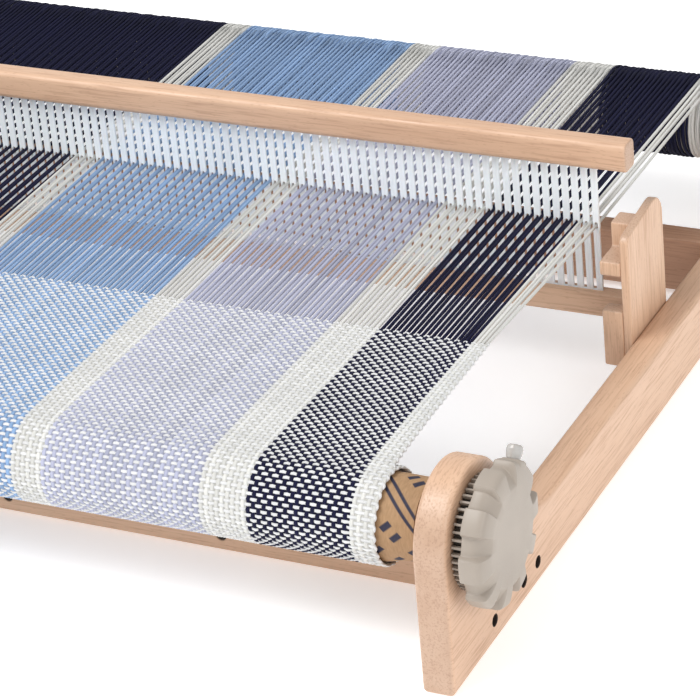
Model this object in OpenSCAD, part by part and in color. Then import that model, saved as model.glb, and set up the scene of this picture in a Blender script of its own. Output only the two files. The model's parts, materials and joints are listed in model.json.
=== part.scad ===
// Rigid heddle table loom, 800 mm weaving width, dressed with a striped warp.
// Millimetres. X runs along the rollers to the weaver's right, Y runs from the
// weaver to the back, Z is up. The feet of the side frames stand on Z = 0.

/* [Frame] */
// inside distance between the two side frames
inner_w = 860; // [820:1:900]
// thickness of each side frame
side_t = 20; // [16:1:24]
// length of a side frame, front to back
side_l = 628; // [614:1:660]
// height of the low middle of a side frame
low_h = 46; // [44:1:50]
// roller axis: distance in from each end of the side frame
axis_in = 44; // [42:1:50]
// roller axis: height above the table
axis_z = 84.5; // [82:0.5:92]
// radius of the round post over each roller
post_r = 42; // [41:1:42]
// radius of the hollow between post and middle
hollow_r = 70; // [40:1:80]

/* [Cross rails] */
// thickness of a cross rail, front to back
rail_t = 20; // [16:1:24]
// height of a cross rail
rail_h = 40; // [36:1:42]
// height of a rail's underside above the table
rail_z = 3; // [2:0.5:6]
// front face of the front rail
front_rail_y = 93; // [88:1:96]
// front face of the rear rail
rear_rail_y = 480; // [476:1:490]

/* [Rollers] */
// radius of the wooden roller
roller_r = 20; // [16:1:22]
// radius of the turned ends that run in the side frames
journal_r = 10.95; // [10.9:0.01:10.98]
// radius of the bore in a side frame
bore_r = 11; // [11:0.01:11.04]
// outside radius of the paper on the cloth roller
paper_r = 26.7; // [24:0.1:27]
// outside radius of the cloth wound on the cloth roller
cloth_r = 29; // [28:0.5:32]
// outside radius of the paper wound in with the warp
warp_paper_r = 27.4; // [24:0.1:28]
// outside radius of the warp wound on the warp roller
warp_r = 29; // [28.5:0.5:32]

/* [Ratchet and handle] */
// tip radius of the ratchet
ratchet_r = 34; // [33:0.5:35]
// depth of a ratchet tooth
tooth_d = 3.6; // [3:0.1:3.8]
// teeth on the ratchet
teeth = 48; // [48:12:48]
// radius over the lobes of the handle
handle_r = 42.3; // [40:0.5:43]
// thickness of the handle
handle_t = 15; // [14:0.5:16]
// even places round the handle: the peg's boss is in one, a notch in each other
lobes = 10; // [8:1:12]

/* [Heddle] */
// front face of the bottom rail, measured from the front of the loom
heddle_y = 360; // [356:1:363]
// underside of the bottom rail in its pocket
heddle_z = 45; // [45:0.1:46]
// height of the bottom rail
bottom_rail_h = 17; // [15:0.5:18]
// height of the top rail
top_rail_h = 19.5; // [18:0.5:24]
// bars in the reed
bars = 118; // [100:1:118]
// one bar and one slot
pitch = 6.773; // [6.7:0.001:6.8]
// width of a slot
slot_w = 2.2; // [1.8:0.1:2.6]
// height of the reed between the rails
reed_h = 89.5; // [84:0.5:92]
// plain band between the slots and the top rail
band_h = 2.5; // [2:0.5:12]

/* [Warp and cloth] */
// half the width of the woven cloth
cloth_hw = 400; // [370:1:404]
// half the width of the warp at the reed
warp_hw = 397; // [390:1:399]
// distance of the last woven row from the front of the loom
fell_y = 200; // [170:1:220]
// thickness of the cloth
cloth_t = 1.4; // [1:0.1:2]

/* [Hidden] */
$fn = 64;

// places along X
xi = inner_w/2;                 // inner face of a side frame
xo = xi + side_t;               // outer face of a side frame
handle_x = xo + 8;              // back of the handle
shift_x = -(handle_x + handle_t - xo)/2;   // puts the origin under the middle of the whole loom
end_play = 0.6;                 // gap between a roller's shoulder and the side frame
paper_hw = 424;                 // half width of the paper on the cloth roller
warp_paper_hw = 411;            // half width of the paper on the warp roller

// places along Y and Z
cy = axis_in;                   // cloth roller axis
wy = side_l - axis_in;          // warp roller axis
foot_r = 2;                     // rounding of a side frame's lower corners

// fixings
bolt_y = [front_rail_y + rail_t/2, rear_rail_y + rail_t/2];
bolt_z = [14, 32];
bolt_r = 2.5;                   // shank of a rail bolt
bolt_head_r = 3.9;
bolt_sink = 8;                  // depth of the hole that hides a bolt's head
bolt_grip = 30;                 // how far a bolt reaches into a rail
stand_y = [60, 124, side_l - 159.5, side_l - 60];   // holes for a stand's bolts
stand_z = 14;
stand_r = 3.5;
front_screw_x = [-255, -104, 104, 255];
front_screw_z = 14;
blk_y = 334;                    // front of the heddle blocks
blk_screw_y = [blk_y + 14, blk_y + 48];
blk_screw_z = 34;
blk_wall = 6;                   // thickness of a block's outer wall
blk_w = 20;                     // whole thickness of a block
blk_head_r = 4;
wood_screw_r = 2;
bite = 14;                      // how far a wood screw reaches into the wood behind

wood = [0.86, 0.70, 0.53];
plastic = [0.74, 0.71, 0.65];
clear_plastic = [0.8, 0.79, 0.76];
steel = [0.2, 0.2, 0.21];

module place() { translate([shift_x, -side_l/2, 0]) children(); }
// a flat shape drawn in Y and Z, given thickness along X from x0 to x1
module slab(x0, x1) { translate([x0, 0, 0]) rotate([90, 0, 90]) linear_extrude(x1 - x0) children(); }
// a round bar along X
module barx(y, z, r, x0, x1) { translate([x0, y, z]) rotate([0, 90, 0]) cylinder(r = r, h = x1 - x0); }
// a crossed recess in a screw's head, cut along the head's own axis
module cross_recess(r, depth) {
  for (a = [0, 90]) rotate([0, 0, a]) translate([-r, -0.4, -1]) cube([2*r, 0.8, depth + 1]);
}

// ---- side frames -------------------------------------------------------
module hollow_fill() {
  // runs from the round post down into the low middle on a hollow curve
  hz = low_h + hollow_r;
  hd = sqrt(pow(post_r + hollow_r, 2) - pow(hz - axis_z, 2));
  difference() {
    polygon([[axis_in, low_h - 1], [axis_in + hd, low_h - 1], [axis_in + hd, hz], [axis_in, axis_z]]);
    translate([axis_in + hd, hz]) circle(r = hollow_r);
  }
}
module post_end() {
  // the round post over a roller and the straight upright under it
  translate([axis_in, axis_z]) circle(r = post_r);
  translate([axis_in - post_r, low_h - 1]) square([2*post_r, axis_z - low_h + 1]);
  translate([0, foot_r]) square([axis_in, low_h - foot_r]);
  polygon([[0, low_h - 1], [axis_in, low_h - 1], [axis_in, axis_z], [axis_in - post_r, axis_z]]);
  translate([foot_r, foot_r]) circle(r = foot_r);
  hollow_fill();
}
module side_profile() {
  difference() {
    union() {
      translate([foot_r, 0]) square([side_l - 2*foot_r, low_h]);
      post_end();
      translate([side_l, 0]) mirror([1, 0]) post_end();
    }
    for (y = [cy, wy]) translate([y, axis_z]) circle(r = bore_r);
    for (y = stand_y) translate([y, stand_z]) circle(r = stand_r);
  }
}
// holes shared by both side frames, for the frame on the weaver's right
module side_holes() {
  for (y = bolt_y, z = bolt_z) {
    barx(y, z, bolt_r + 0.1, xi - 1, xo + 1);
    barx(y, z, bolt_head_r, xo - bolt_sink, xo + 1);
  }
  for (y = blk_screw_y) barx(y, blk_screw_z, wood_screw_r, xi - 1, xi + bite);
}
module side_frame_right() {
  color(wood) place() difference() {
    slab(xi, xo) side_profile();
    side_holes();
    for (y = [cy + pawl_py, wy - pawl_py]) barx(y, axis_z + pawl_pz, pivot_r, xo - bite, xo + 1);
  }
}
module side_frame_left() {
  color(wood) place() mirror([1, 0, 0]) difference() {
    slab(xi, xo) side_profile();
    side_holes();
  }
}

// ---- cross rails and their fixings --------------------------------------
module rail(y) {
  difference() {
    translate([-xi, y, rail_z]) cube([2*xi, rail_t, rail_h]);
    for (z = bolt_z) {
      barx(y + rail_t/2, z, bolt_r, xi - bolt_grip, xi + 1);
      barx(y + rail_t/2, z, bolt_r, -xi - 1, -xi + bolt_grip);
    }
  }
}
// a small countersunk screw along +Z, its head's face on Z = 0
front_head_r = 3.6;
front_shank_r = 1.7;
front_screw_l = 14;
module front_cross_rail() {
  color(wood) place() difference() {
    rail(front_rail_y);
    for (x = front_screw_x) translate([x, front_rail_y, front_screw_z]) rotate([-90, 0, 0]) {
      translate([0, 0, -1]) cylinder(r = front_head_r, h = 3);
      cylinder(r = front_shank_r, h = front_screw_l);
    }
  }
}
module rear_cross_rail() { color(wood) place() rail(rear_rail_y); }
module front_screw() {
  difference() {
    union() {
      translate([0, 0, 0.6]) cylinder(r = front_head_r, h = 1.4);
      translate([0, 0, 1.9]) cylinder(r = front_shank_r, h = front_screw_l - 1.9);
    }
    cross_recess(2, 1.2);
  }
}
module front_rail_screws() {
  color(steel) place() for (x = front_screw_x)
    translate([x, front_rail_y, front_screw_z]) rotate([-90, 0, 0]) front_screw();
}
module one_bolt(y, z) {
  difference() {
    union() {
      barx(y, z, bolt_head_r, xo - bolt_sink, xo - bolt_sink + 5);
      barx(y, z, bolt_r, xi - bolt_grip, xo - bolt_sink);
    }
    translate([xo - bolt_sink + 2.4, y, z]) rotate([0, 90, 0]) cylinder(r = 2.2, h = 4, $fn = 6);
  }
}
module rail_bolts() {
  color(steel) place() for (y = bolt_y, z = bolt_z) {
    one_bolt(y, z);
    mirror([1, 0, 0]) one_bolt(y, z);
  }
}

// ---- heddle blocks --------------------------------------------------------
module block_wall_2d() {
  difference() {
    translate([blk_y, 0]) polygon([[0, 28], [2, 26], [59, 26], [61, 28], [61, 112], [59.4, 117],
      [55.5, 121.6], [50.5, 124], [45.5, 124.2], [3, 119.4], [0, 116]]);
    for (y = blk_screw_y) translate([y, blk_screw_z]) circle(r = wood_screw_r);
  }
}
module block_fork_2d() {
  // lip, pocket, tooth with its upper rest, and the stop behind it
  floor_z = heddle_z - 0.4;
  difference() {
    translate([blk_y, 0]) polygon([[0, 28], [2, 26], [59, 26], [61, 28], [61, 101], [56, 106],
      [37, 118], [22, 118], [22, 101], [0, 101], [0, 91], [42, 91], [42, floor_z],
      [11, floor_z], [11, 66], [0, 66]]);
    for (y = blk_screw_y) translate([y, blk_screw_z]) circle(r = wood_screw_r);
  }
}
module heddle_block() {
  difference() {
    union() {
      slab(xi - blk_wall, xi) block_wall_2d();
      slab(xi - blk_w, xi - blk_wall) block_fork_2d();
    }
    for (y = blk_screw_y) barx(y, blk_screw_z, blk_head_r, xi - blk_w - 1, xi - blk_w + 3);
  }
}
module heddle_block_right() { color(wood) place() heddle_block(); }
module heddle_block_left() { color(wood) place() mirror([1, 0, 0]) heddle_block(); }
module block_screw(y) {
  difference() {
    union() {
      barx(y, blk_screw_z, blk_head_r, xi - blk_w + 0.4, xi - blk_w + 3);
      barx(y, blk_screw_z, wood_screw_r, xi - blk_w + 3, xi + bite);
    }
    translate([xi - blk_w, y, blk_screw_z]) rotate([0, 90, 0]) cross_recess(2.2, 1.4);
  }
}
module block_screws() {
  color(steel) place() for (y = blk_screw_y) {
    block_screw(y);
    mirror([1, 0, 0]) block_screw(y);
  }
}

// ---- rollers with what is wound on them ------------------------------------
module roller(y) {
  barx(y, axis_z, roller_r, -xi + end_play, xi - end_play);
  barx(y, axis_z, journal_r, -xo + 2, -xi + end_play);
  barx(y, axis_z, journal_r, xi - end_play, handle_x + 8);
}
module tube(y, r0, r1, hw) {
  difference() {
    barx(y, axis_z, r1, -hw, hw);
    barx(y, axis_z, r0, -hw - 1, hw + 1);
  }
}
module cloth_roller() { color(wood) place() union() roller(cy); }
module warp_roller() { color(wood) place() union() roller(wy); }
module cloth_paper() { color([0.72, 0.55, 0.36]) place() tube(cy, roller_r, paper_r, paper_hw); }
module warp_paper() { color([0.8, 0.8, 0.78]) place() tube(wy, roller_r, warp_paper_r, warp_paper_hw); }
module cloth_roll() { color([0.62, 0.68, 0.8]) place() tube(cy, paper_r, cloth_r, cloth_hw); }
module warp_roll() { color([0.4, 0.44, 0.6]) place() tube(wy, warp_paper_r, warp_r, warp_hw + 2); }

// ---- ratchets, handles and pawls --------------------------------------------
step = 360/teeth;
tooth_tip = 1.3;                // width of a tooth at its tip
tooth_root = 2;
module ratchet_2d() {
  rr = ratchet_r - tooth_d;
  union() {
    circle(r = rr);
    for (i = [0:teeth - 1]) rotate(i*step)
      polygon([[rr - 1, -tooth_root/2], [ratchet_r, -tooth_tip/2], [ratchet_r, tooth_tip/2], [rr - 1, tooth_root/2]]);
  }
}
module ratchet(y) {
  difference() {
    translate([xo + 0.6, y, axis_z]) rotate([90, 0, 90]) linear_extrude(handle_x - xo - 0.6) ratchet_2d();
    barx(y, axis_z, journal_r, xo, handle_x + 1);
  }
}
module cloth_ratchet() { color(plastic) place() ratchet(cy); }
module warp_ratchet() { color(plastic) place() ratchet(wy); }

peg_a = 54;                     // direction of the peg at rest, up from +Y
peg_r = 3.6;
peg_in = 11.5;                   // how far the peg goes into the handle's boss
module along_peg() { rotate(peg_a) translate([handle_r - peg_in, 0, handle_t/2 - 0.75]) rotate([0, 90, 0]) children(); }
module handle(y) {
  translate([handle_x, y, axis_z]) rotate([90, 0, 90]) difference() {
    union() {
      difference() {
        rotate_extrude() polygon([[0, 0], [handle_r - 1, 0], [handle_r, 1], [handle_r, handle_t - 4],
          [handle_r - 3, handle_t - 1.4], [handle_r - 12, handle_t], [0, handle_t]]);
        for (i = [1:lobes - 1]) rotate(peg_a + i*360/lobes) {
          translate([handle_r + 2.2, 0, -1]) cylinder(r = 5.8, h = handle_t + 2);
          translate([handle_r - 2, 0, handle_t + 5]) rotate([0, 64, 0]) translate([0, 0, -14]) cylinder(r = 5.6, h = 28);
        }
      }
      rotate(peg_a) translate([handle_r - 10, -6.5, 0.5]) cube([10.5, 13, handle_t - 2.5]);
    }
    translate([0, 0, -1]) cylinder(r = journal_r, h = 9);
    along_peg() cylinder(r = peg_r, h = peg_in + 3);
  }
}
module peg(y) {
  translate([handle_x, y, axis_z]) rotate([90, 0, 90]) along_peg()
    rotate_extrude() polygon([[0, 0], [peg_r, 0], [peg_r, 12.4], [4.1, 12.4], [4.7, 15], [4.9, 17.6],
      [4.4, 19.4], [3.2, 20.3], [0, 20.6]]);
}
module cloth_handle() { color(plastic) place() handle(cy); }
module warp_handle() { color(plastic) place() handle(wy); }
module cloth_handle_peg() { color(clear_plastic) place() peg(cy); }
module warp_handle_peg() { color(clear_plastic) place() peg(wy); }

// The pawl is drawn about its roller's axis and sits towards the loom's middle.
pawl_a = -16;                   // pivot direction seen from the roller axis
pawl_rr = 43;                   // pivot distance from the roller axis
pawl_py = pawl_rr*cos(pawl_a);
pawl_pz = pawl_rr*sin(pawl_a);
pawl_arm_r = [36, 41];          // inner and outer radius of the curved arm
boss_r = 6.5;
pivot_r = 2.2;
tip_a = -63.75;                 // the pawl's tooth drops into this gap
tip_w = 1.1;
module pawl_2d() {
  far = 90;
  difference() {
    union() {
      difference() {
        circle(r = pawl_arm_r[1]);
        circle(r = pawl_arm_r[0]);
        polygon([[0, 0], far*[cos(pawl_a - 2), sin(pawl_a - 2)], [far, far], [-far, far], [-far, -far],
          [0, -far], far*[cos(tip_a - 3), sin(tip_a - 3)]]);
      }
      translate([pawl_py, pawl_pz]) circle(r = boss_r);
      rotate(tip_a) translate([ratchet_r - 2.2, -tip_w/2]) square([6, tip_w]);
      rotate(tip_a - 3) translate([pawl_arm_r[0] + 0.4, -5]) square([4, 6]);
    }
    translate([pawl_py, pawl_pz]) circle(r = pivot_r + 0.35);
  }
}
module pawl() {
  difference() {
    slab(xo + 1, handle_x - 0.6) pawl_2d();
    barx(pawl_py, pawl_pz, 4.4, handle_x - 3, handle_x);
  }
}
module pivot() {
  difference() {
    union() {
      barx(pawl_py, pawl_pz, pivot_r + 0.3, xo, handle_x - 2.9);
      barx(pawl_py, pawl_pz, pivot_r, xo - bite, xo);
      barx(pawl_py, pawl_pz, 4.1, handle_x - 2.9, handle_x - 0.8);
    }
    translate([handle_x - 1.8, pawl_py - 2.6, pawl_pz - 0.5]) cube([3, 5.2, 1]);
  }
}
module at_cloth_axis() { place() translate([0, cy, axis_z]) children(); }
module at_warp_axis() { place() translate([0, wy, axis_z]) mirror([0, 1, 0]) children(); }
module cloth_pawl() { color(plastic) at_cloth_axis() pawl(); }
module warp_pawl() { color(plastic) at_warp_axis() pawl(); }
module pawl_pivots() { color(steel) { at_cloth_axis() pivot(); at_warp_axis() pivot(); } }

// ---- heddle ---------------------------------------------------------------
bottom_rail_t = 12;             // thickness of the bottom rail, front to back
top_rail_t = 16;
bottom_rail_hw = 419;
top_rail_hw = 421.5;
bottom_rail_top = heddle_z + bottom_rail_h;
top_rail_z = bottom_rail_top + reed_h;
reed_y = heddle_y + 5;          // front face of the bars
reed_t = 1.8;
groove = 7;                     // how far the reed goes into each rail
eye_h = 5;
eye_w = 1.8;
eye_z = bottom_rail_top + reed_h/2 + 3;   // middle of the eyes, heddle down
reed_hw = bars*pitch/2 - slot_w/2;
module rounded_bar(hw, y, t, z, h, r) {
  // a bar along X with its four long edges rounded
  translate([-hw, y + r, z]) cube([2*hw, t - 2*r, h]);
  translate([-hw, y, z + r]) cube([2*hw, t, h - 2*r]);
  for (yy = [y + r, y + t - r], zz = [z + r, z + h - r]) barx(yy, zz, r, -hw, hw);
}
module heddle_bottom_rail() {
  color(wood) place() difference() {
    union() rounded_bar(bottom_rail_hw, heddle_y, bottom_rail_t, heddle_z, bottom_rail_h, 2);
    translate([-reed_hw, reed_y, bottom_rail_top - groove]) cube([2*reed_hw, reed_t, groove + 1]);
  }
}
module heddle_top_rail() {
  color(wood) place() difference() {
    union() rounded_bar(top_rail_hw, heddle_y - 2, top_rail_t, top_rail_z, top_rail_h, 3);
    translate([-reed_hw, reed_y, top_rail_z - 1]) cube([2*reed_hw, reed_t, groove + 1]);
  }
}
module heddle_reed() {
  z0 = bottom_rail_top - groove;
  z1 = top_rail_z + groove;
  slot_h = reed_h + 1 - band_h;
  color([0.93, 0.94, 0.96]) place() translate([0, reed_y + reed_t, 0]) rotate([90, 0, 0])
    linear_extrude(reed_t) difference() {
      translate([-reed_hw, z0]) square([2*reed_hw, z1 - z0]);
      for (i = [1:bars - 1])
        translate([(i - bars/2)*pitch - slot_w/2, bottom_rail_top - 1]) square([slot_w, slot_h]);
      for (i = [0:bars - 1])
        translate([(i - bars/2 + 0.5)*pitch - eye_w/2, eye_z - eye_h/2]) square([eye_w, eye_h]);
    }
}

// ---- warp and cloth between the rollers -------------------------------------
// The warp is one thin sheet through the slots and one through the eyes of the
// reed. Both stop just clear of the reed on either side.
air = 0.4;                           // keeps the sheets clear of the turning rolls
top_c = axis_z + cloth_r + air;
top_w = axis_z + warp_r + air;
fell_drop = 3;                       // the eye threads pull the last row down
fell_z = top_c - fell_drop;
slot_z = fell_z + (top_w - fell_z)*(heddle_y - fell_y)/(wy - fell_y);   // the slot threads run straight
yarn_t = 1;
before_reed = heddle_y - 2;
behind_reed = heddle_y + 14;
module sheet(hw, outline) { slab(-hw, hw) polygon(outline); }
module cloth_web() {
  color([0.75, 0.79, 0.88]) place()
    sheet(cloth_hw, [[cy, top_c], [fell_y, fell_z], [fell_y, fell_z + cloth_t], [cy, top_c + cloth_t]]);
}
module warp_front(z_fell, z_reed) {
  color([0.5, 0.55, 0.7]) place() sheet(warp_hw, [[fell_y, z_fell], [before_reed, z_reed - yarn_t/2],
    [before_reed, z_reed + yarn_t/2], [fell_y, z_fell + cloth_t/2]]);
}
module warp_rear(z_roll, z_reed) {
  color([0.4, 0.44, 0.6]) place() sheet(warp_hw, [[wy, z_roll], [wy, z_roll + cloth_t/2],
    [behind_reed, z_reed + yarn_t/2], [behind_reed, z_reed - yarn_t/2]]);
}
module warp_front_slots() { warp_front(fell_z + cloth_t/2, slot_z); }
module warp_front_eyes() { warp_front(fell_z, eye_z); }
module warp_rear_slots() { warp_rear(top_w + cloth_t/2, slot_z); }
module warp_rear_eyes() { warp_rear(top_w, eye_z); }

side_frame_left();
side_frame_right();
front_cross_rail();
rear_cross_rail();
rail_bolts();
front_rail_screws();
heddle_block_left();
heddle_block_right();
block_screws();
pawl_pivots();
cloth_web();
warp_front_slots();
warp_front_eyes();
warp_rear_slots();
warp_rear_eyes();
cloth_roller();
cloth_paper();
cloth_roll();
cloth_ratchet();
cloth_handle();
cloth_handle_peg();
warp_roller();
warp_paper();
warp_roll();
warp_ratchet();
warp_handle();
warp_handle_peg();
heddle_top_rail();
heddle_bottom_rail();
heddle_reed();
cloth_pawl();
warp_pawl();
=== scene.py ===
"""The looks of a rigid heddle table loom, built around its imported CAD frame.

Places and sizes are read from the frame's nodes where it has them. Metres, +Z up, X along the rollers.
"""

import json
import math

import bmesh
import bpy
import numpy as np
from mathutils import Matrix, Vector
from mathutils.geometry import tessellate_polygon


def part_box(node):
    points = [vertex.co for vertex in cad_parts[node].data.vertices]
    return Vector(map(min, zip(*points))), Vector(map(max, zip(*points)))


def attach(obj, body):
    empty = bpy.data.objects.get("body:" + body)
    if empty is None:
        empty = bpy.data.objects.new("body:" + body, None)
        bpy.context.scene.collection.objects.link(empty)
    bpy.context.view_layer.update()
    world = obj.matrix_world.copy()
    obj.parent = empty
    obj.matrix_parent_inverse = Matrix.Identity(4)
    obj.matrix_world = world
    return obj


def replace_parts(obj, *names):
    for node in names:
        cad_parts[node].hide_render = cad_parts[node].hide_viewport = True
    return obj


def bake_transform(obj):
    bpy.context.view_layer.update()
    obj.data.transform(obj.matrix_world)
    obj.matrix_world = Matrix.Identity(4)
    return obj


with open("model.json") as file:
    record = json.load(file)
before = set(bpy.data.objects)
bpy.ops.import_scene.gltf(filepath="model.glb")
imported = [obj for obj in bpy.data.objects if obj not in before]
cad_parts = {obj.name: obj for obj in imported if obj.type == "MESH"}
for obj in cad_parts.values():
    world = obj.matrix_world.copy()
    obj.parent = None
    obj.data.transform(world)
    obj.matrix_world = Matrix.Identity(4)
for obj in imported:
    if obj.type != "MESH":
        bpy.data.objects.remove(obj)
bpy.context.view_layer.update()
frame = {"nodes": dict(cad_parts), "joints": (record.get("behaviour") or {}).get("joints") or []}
rng = np.random.default_rng(7)

MM = 0.001


# ---- places read from the frame ---------------------------------------------
def axis_of(joint):
    """Y and Z of a hinge that turns about X."""
    place = next(j for j in frame["joints"] if j["name"] == joint)["pos_m"]
    return place[1], place[2]


def radius_of(node):
    """Radius of a node that is round about X."""
    low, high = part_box(node)
    return (high.z - low.z) / 2


side_lo, side_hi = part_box("side_frame_right")
MID = (side_lo.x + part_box("side_frame_left")[1].x) / 2  # middle of the warp
FRONT = side_lo.y
CLOTH_Y, AXIS_Z = axis_of("cloth_roller_turn")
WARP_Y = axis_of("warp_roller_turn")[0]
ROLLER_R = 20 * MM
cloth_paper_r = radius_of("cloth_paper")
warp_paper_r = radius_of("warp_paper")

reed_lo, reed_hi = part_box("heddle_reed")
top_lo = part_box("heddle_top_rail")[0]
bottom_lo, bottom_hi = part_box("heddle_bottom_rail")
REED_Y = (reed_lo.y + reed_hi.y) / 2
BARS = 118
SLOT_W = 2.2 * MM
PITCH = (reed_hi.x - reed_lo.x + SLOT_W) / BARS
EYE_Z = (bottom_hi.z + top_lo.z) / 2 + 2.0 * MM

web_lo, web_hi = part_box("cloth_web")
FELL_Y = web_hi.y  # the cloth's last row
CLOTH_HW = (web_hi.x - web_lo.x) / 2


# ---- material helpers --------------------------------------------------------
def new_material(name, color=(0.8, 0.8, 0.8), roughness=0.5, **sockets):
    """A material, its node tree and its shader. Other sockets are named with _ for each space."""
    material = bpy.data.materials.new(name)
    material.use_nodes = True
    tree = material.node_tree
    shader = tree.nodes["Principled BSDF"]
    shader.inputs["Base Color"].default_value = (*color, 1)
    shader.inputs["Roughness"].default_value = roughness
    for socket, value in sockets.items():
        shader.inputs[socket.replace("_", " ")].default_value = value
    return material, tree, shader


def add(tree, kind, inputs=None, **settings):
    """One node with its settings; inputs maps a socket's name or number to a value or an output."""
    node = tree.nodes.new(kind)
    for key, value in settings.items():
        setattr(node, key, value)
    for key, value in (inputs or {}).items():
        if isinstance(value, bpy.types.NodeSocket):
            tree.links.new(value, node.inputs[key])
        else:
            node.inputs[key].default_value = value
    return node


def placed(tree, scale):
    """Object coordinates, stretched by scale."""
    where = add(tree, "ShaderNodeTexCoord").outputs["Object"]
    return add(tree, "ShaderNodeMapping", {0: where, "Scale": scale}).outputs[0]


def noise(tree, scale, detail, **inputs):
    """Noise over object coordinates that are stretched by scale."""
    inputs |= {"Vector": placed(tree, scale), "Scale": 1, "Detail": detail}
    return add(tree, "ShaderNodeTexNoise", inputs).outputs[0]


def reckoned(tree, operation, *values):
    """The result of a math node."""
    return add(tree, "ShaderNodeMath", dict(enumerate(values)), operation=operation).outputs[0]


def ramp(tree, value, stops):
    """A colour ramp over value; stops are (position, colour or grey)."""
    node = add(tree, "ShaderNodeValToRGB", {0: value})
    while len(node.color_ramp.elements) < len(stops):
        node.color_ramp.elements.new(0.5)
    for element, (position, color) in zip(node.color_ramp.elements, stops):
        element.position = position
        element.color = (*color, 1) if isinstance(color, tuple) else (color, color, color, 1)
    return node.outputs[0]


def mixed(tree, share, a, b, blend="MIX"):
    """Colour a with that share of b, or of a times b. Each is a colour or an output."""
    node = tree.nodes.new("ShaderNodeMix")
    node.data_type = "RGBA"
    node.blend_type = blend
    for key, value in ((0, share), (6, a), (7, b)):
        if isinstance(value, bpy.types.NodeSocket):
            tree.links.new(value, node.inputs[key])
        else:
            node.inputs[key].default_value = (*value, 1) if isinstance(value, tuple) else value
    return node.outputs[2]


def bumped(tree, shader, height, distance, strength):
    """Gives the shader a bump that is that far from low to high."""
    node = add(tree, "ShaderNodeBump", {"Height": height, "Distance": distance, "Strength": strength})
    tree.links.new(node.outputs[0], shader.inputs["Normal"])


def along(axis, across, length):
    """Texture scale for streaks that run along one axis."""
    return tuple(length if a == axis else across for a in range(3))


# ---- materials ---------------------------------------------------------------
def beech(name, axis, tint=None):
    """Pale steamed beech: soft bands, fine pores and short brown ray flecks along the grain."""
    material, tree, shader = new_material(name, roughness=0.42)
    bands = noise(tree, along(axis, 42, 2.2), 5, Roughness=0.6, Distortion=0.4)
    tone = ramp(tree, bands, [(0.28, (0.585, 0.368, 0.236)), (0.5, (0.665, 0.437, 0.292)),
                              (0.72, (0.72, 0.492, 0.340))])
    patches = ramp(tree, noise(tree, along(axis, 6, 1.1), 2), [(0.35, 0.0), (0.75, 0.55)])
    tone = mixed(tree, patches, tone, (0.60, 0.37, 0.25))
    pores = noise(tree, along(axis, 900, 34), 2)
    tone = mixed(tree, ramp(tree, pores, [(0.32, 0.42), (0.5, 0.0)]), tone, (0.38, 0.21, 0.13))
    cells = add(tree, "ShaderNodeTexVoronoi", {"Vector": placed(tree, along(axis, 620, 150)), "Scale": 1})
    rays = ramp(tree, cells.outputs["Distance"], [(0.10, 0.42), (0.26, 0.0)])
    normal = add(tree, "ShaderNodeTexCoord").outputs["Normal"]
    end = reckoned(tree, "ABSOLUTE", add(tree, "ShaderNodeSeparateXYZ", {0: normal}).outputs[axis])
    # end grain is a little duller, and its rays are too fine to show as flecks
    flecks = reckoned(tree, "MULTIPLY", rays, ramp(tree, end, [(0.3, 1.0), (0.7, 0.15)]))
    tone = mixed(tree, flecks, tone, (0.42, 0.24, 0.15))
    duller = mixed(tree, 1.0, tone, (0.79, 0.81, 0.85), "MULTIPLY")
    tone = mixed(tree, ramp(tree, end, [(0.35, 0.0), (0.9, 1.0)]), tone, duller)
    # tint multiplies the whole tone; the rear rail's copy uses it as painted shade
    if tint:
        tone = mixed(tree, 1.0, tone, tint, "MULTIPLY")
    tree.links.new(tone, shader.inputs["Base Color"])
    tree.links.new(ramp(tree, pores, [(0.3, 0.56), (0.6, 0.34)]), shader.inputs["Roughness"])
    bumped(tree, shader, mixed(tree, 0.5, pores, bands), 0.12 * MM, 0.5)
    return material


def plastic(name, color, roughness, **sockets):
    """Moulded plastic: a fine spark-eroded skin, faint flow marks and slightly uneven colour."""
    material, tree, shader = new_material(name, color, roughness, **sockets)
    flow = ramp(tree, noise(tree, (30, 30, 30), 4), [(0.3, 0.0), (0.8, 1.0)])
    dark = tuple(c * 0.86 for c in color)
    tree.links.new(mixed(tree, flow, color, dark), shader.inputs["Base Color"])
    skin = noise(tree, (2600, 2600, 2600), 2)
    sheen = ramp(tree, skin, [(0.3, roughness - 0.06), (0.7, roughness + 0.08)])
    tree.links.new(sheen, shader.inputs["Roughness"])
    bumped(tree, shader, skin, 0.05 * MM, 0.45)
    return material


ROOT_R = 30.4 * MM  # a ratchet's radius at the roots of its teeth
TOOTH_H = 3 * MM


def ratchet_plastic(name, y):
    """The grey plastic with painted shade in the gaps between the teeth, on the ratchet at y."""
    material = GREY_PLASTIC.copy()
    material.name = name
    tree = material.node_tree
    shader = tree.nodes["Principled BSDF"]
    unshaded_tone = shader.inputs["Base Color"].links[0].from_socket
    where = add(tree, "ShaderNodeTexCoord").outputs["Object"]
    spot = add(tree, "ShaderNodeMapping", {0: where, "Location": (0, -y, -AXIS_Z), "Scale": (0, 1, 1)})
    radius = add(tree, "ShaderNodeVectorMath", {0: spot.outputs[0]}, operation="LENGTH").outputs["Value"]
    tip_r = ROOT_R + TOOTH_H
    root = ROOT_R / tip_r
    share = reckoned(tree, "MULTIPLY", radius, 1 / tip_r)
    # painted shade: the gaps between the teeth go near black towards their roots
    gap_shade = ramp(tree, share, [(root + 0.012, 1.0), (root + 0.05, 0.0)])
    tree.links.new(mixed(tree, gap_shade, unshaded_tone, (0.035, 0.027, 0.02)), shader.inputs["Base Color"])
    return material


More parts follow.
